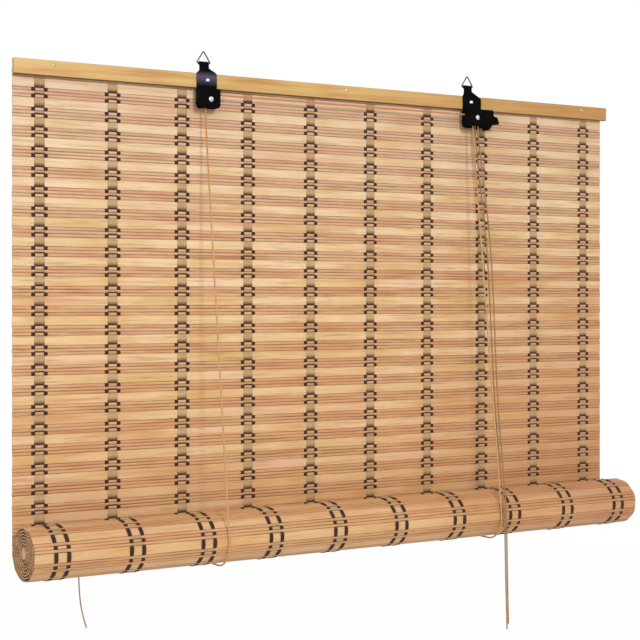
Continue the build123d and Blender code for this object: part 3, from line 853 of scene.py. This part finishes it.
def twisted_cord(name, route, diameter):
    """A cord of three plies twisted together, as one lobed tube along the route."""
    smooth = spline_points(route)
    line = even_points(smooth, cord_step)
    count = 4 * cord_strands
    side = Vector((1, 0, 0))
    points, uvs = [], []
    for i, here in enumerate(line):
        ahead, behind = line[min(i + 1, len(line) - 1)], line[max(i - 1, 0)]
        heading = (ahead - behind).normalized()
        side = (side - heading * side.dot(heading)).normalized()
        other = heading.cross(side)
        turn = 2 * pi * i * cord_step / cord_twist
        for j in range(count):
            angle = 2 * pi * j / count
            radius = diameter / 2 * (1 - strand_depth + strand_depth * cos(cord_strands * angle))
            reach = side * cos(angle + turn) + other * sin(angle + turn)
            points.append(here + reach * radius)
            uvs.append((j / count, i * cord_step / MM))
    faces = []
    for i in range(len(line) - 1):
        for j in range(count):
            k = (j + 1) % count
            faces.append((i * count + j, i * count + k, (i + 1) * count + k, (i + 1) * count + j))
    faces.append(tuple(range(count))[::-1])
    faces.append(tuple((len(line) - 1) * count + j for j in range(count)))
    piece = mesh_object(name, points, faces, pull_cord_plies)
    lay_uvs(piece.data, uvs)
    for face in piece.data.polygons:
        face.use_smooth = True
    return piece, smooth


def free_cord(name, node_name, route, diameter):
    piece, line = twisted_cord(name, route, diameter)
    fitted(piece, "khaki_cord", node_name)


def in_metres(route):
    return [tuple(c * MM for c in point) for point in route]


def loose_end_route():
    """From the middle of a wide slat on the roll's underside straight out, then down."""
    target = mat_top - roll_z + loose_end_turn * (roll_semi_y + roll_semi_z) / 2
    wide = [row for row in rows if row[3] == "wide"]
    start, width, thickness, _ = min(wide, key=lambda row: abs(row[0] + row[1] / 2 - target))
    (y0, z0), (y1, z1) = point_at(start), point_at(start + width)
    run = hypot(y1 - y0, z1 - z0)
    outwards = Vector((0, -(z1 - z0) / run, (y1 - y0) / run))
    x = mat_left + column_margin + loose_end_from_column
    foot = Vector((x, (y0 + y1) / 2, (z0 + z1) / 2)) + outwards * thickness / 2
    down = foot + outwards * loose_end_stub
    drop = [down + Vector(step) * MM for step in loose_end_drop]
    return [tuple(place) for place in (foot, down, *drop)]


def cords():
    free_cord("left_pull_cord_twist", "left_pull_cord", in_metres(left_pull_route), cord_diameter)
    free_cord("right_pull_cord_twist", "right_pull_cord", in_metres(right_pull_route), cord_diameter)
    free_cord("loose_end_twist", "loose_cord_end", loose_end_route(), loose_end_diameter)


# Stage
def floor():
    """A pale disc that fades out with distance and looks nearly white to the camera."""
    low, _ = cad_box
    z = low[2] - floor_drop
    angles = [2 * pi * i / floor_sides for i in range(floor_sides)]
    points = [(floor_radius * cos(angle), floor_radius * sin(angle), z) for angle in angles]
    made = mesh_object("floor", points, [tuple(range(floor_sides))])
    material, tree, shader = new_material("pale_floor", 0.9)
    shader.inputs["Base Color"].default_value = (0.9, 0.9, 0.9, 1)
    flat = vector_maths(tree, "MULTIPLY", object_place(tree), (1, 1, 0))
    reach = node(tree, "ShaderNodeVectorMath", {"operation": "LENGTH"}, i0=flat).outputs["Value"]
    fade = ranged(tree, reach, 0.5, floor_radius * 0.6, 0.0, 1.0)
    white = node(tree, "ShaderNodeEmission", Color=(1, 1, 1, 1), Strength=1.0)
    camera_ray = tree.nodes.new("ShaderNodeLightPath").outputs["Is Camera Ray"]
    seen = maths(tree, "MULTIPLY", camera_ray, floor_white)
    lit = node(tree, "ShaderNodeMixShader", i0=seen, i1=shader.outputs[0], i2=white.outputs[0])
    clear = tree.nodes.new("ShaderNodeBsdfTransparent")
    mixed = node(tree, "ShaderNodeMixShader", i0=fade, i1=lit.outputs[0], i2=clear.outputs[0])
    tree.links.new(mixed.outputs[0], tree.nodes["Material Output"].inputs["Surface"])
    made.data.materials.append(material)


def lamp(name, place, size, power):
    light = bpy.data.lights.new(name, "AREA")
    light.size = size
    light.energy = power
    made = bpy.data.objects.new(name, light)
    made.location = place
    towards = Vector(lamp_target) - Vector(place)
    made.rotation_euler = towards.to_track_quat("-Z", "Y").to_euler()
    bpy.context.scene.collection.objects.link(made)


def world():
    made = bpy.data.worlds.new("studio")
    bpy.context.scene.world = made
    made.use_nodes = True
    tree = made.node_tree
    soft = tree.nodes["Background"]
    soft.inputs["Color"].default_value = (1, 1, 1, 1)
    soft.inputs["Strength"].default_value = world_light
    seen = node(tree, "ShaderNodeBackground", Color=(1, 1, 1, 1), Strength=1.0)
    rays = tree.nodes.new("ShaderNodeLightPath").outputs
    seen_or_mirrored = maths(tree, "MAXIMUM", rays["Is Camera Ray"], rays["Is Glossy Ray"])
    shown = maths(tree, "MAXIMUM", seen_or_mirrored, rays["Is Transmission Ray"])
    mixed = node(tree, "ShaderNodeMixShader", i0=shown, i1=soft.outputs[0], i2=seen.outputs[0])
    tree.links.new(mixed.outputs[0], tree.nodes["World Output"].inputs["Surface"])


def camera():
    data = bpy.data.cameras.new("camera")
    data.lens = camera_lens
    data.shift_y = camera_shift_y
    made = bpy.data.objects.new("camera", data)
    made.location = camera_place
    made.rotation_euler = (pi / 2, 0, -camera_azimuth)
    bpy.context.scene.collection.objects.link(made)
    bpy.context.scene.camera = made


# Scene
camera()
cords()
slats()
weave()
dress_nodes()
floor()
for name, place, size, power in lamps:
    lamp(name, place, size, power)
world()
bpy.context.scene.view_settings.view_transform = "Standard"
